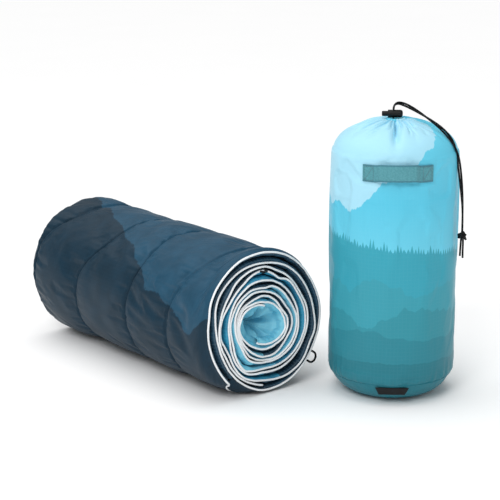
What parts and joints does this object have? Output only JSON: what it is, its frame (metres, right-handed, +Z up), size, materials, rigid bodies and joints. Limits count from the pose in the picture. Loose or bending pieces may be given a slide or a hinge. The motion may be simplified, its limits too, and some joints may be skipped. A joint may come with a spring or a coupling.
{
  "type": "camp blanket with stuff sack",
  "caption": "Quilted two-sided camp blanket rolled up, with a filled round drawcord stuff sack that has a haul handle, a corded lock and a base label.",
  "frame": {"origin": "on the floor, under the middle of the box around the roll and the sack", "axes": "+Z up; +Y along the roll's axis from its open end to its folded end, which is the set's longest extent; +X from the roll towards the sack"},
  "size_m": [0.3454, 0.6134, 0.4024],
  "materials": {
    "shell_fabric": "satin woven ripstop",
    "insulation": "lofted fibre fill",
    "lining_fabric": "satin woven ripstop",
    "edge_binding": "woven tape",
    "quilting_thread": "thread",
    "loop_cord": "braided cord",
    "sack_fabric": "satin woven ripstop, printed",
    "sack_base_fabric": "satin woven ripstop",
    "handle_webbing": "woven webbing",
    "handle_thread": "thread",
    "label_tape": "woven tape",
    "drawcord": "braided cord",
    "lock_plastic": "moulded nylon",
    "spring_wire": "drawn wire"
  },
  "bodies": {
    "root": {"outer_shell": "shell_fabric", "insulation": "insulation", "lining": "lining_fabric", "edge_binding": "edge_binding", "quilting_thread": "quilting_thread", "inner_corner_loop": "loop_cord"},
    "corner_loop": {"outer_corner_loop": "loop_cord"},
    "stuff_sack": {"sack_side": "sack_fabric", "sack_base": "sack_base_fabric", "packed_filling": "insulation", "base_piping": "sack_base_fabric", "side_seam": "sack_fabric", "haul_handle": "handle_webbing", "handle_stitching": "handle_thread", "mouth_hem": "sack_fabric", "drawcord_loop": "drawcord", "front_drawcord_strand": "drawcord", "back_drawcord_strand": "drawcord", "drawcord_knot": "drawcord", "drawcord_tails": "drawcord", "lock_barrel": "lock_plastic", "lock_spring": "spring_wire"},
    "lock_plunger": {"lock_plunger": "lock_plastic"},
    "base_label": {"base_label": "label_tape"}
  },
  "joints": [
    {"name": "sack_lift", "type": "slide", "parent": "root", "child": "stuff_sack", "axis": [0, 0, 1], "range_m": [0, 0.25]},
    {"name": "plunger_press", "type": "slide", "parent": "stuff_sack", "child": "lock_plunger", "axis": [0.7373, -0.6756, 0], "range_m": [0, 0.003], "stiffness_N_per_m": 400, "springref_m": -0.004, "deforming": ["lock_spring"]},
    {"name": "label_flip", "type": "hinge", "parent": "stuff_sack", "child": "base_label", "pos_m": [0.0295, -0.27942, 0.02642], "axis": [-0.7373, 0.6756, 0], "range_deg": [0, 100]},
    {"name": "corner_loop_flip", "type": "hinge", "parent": "root", "child": "corner_loop", "pos_m": [0.01228, -0.13225, 0.03789], "axis": [-0.5592, 0, -0.829], "range_deg": [0, 80]}
  ]
}
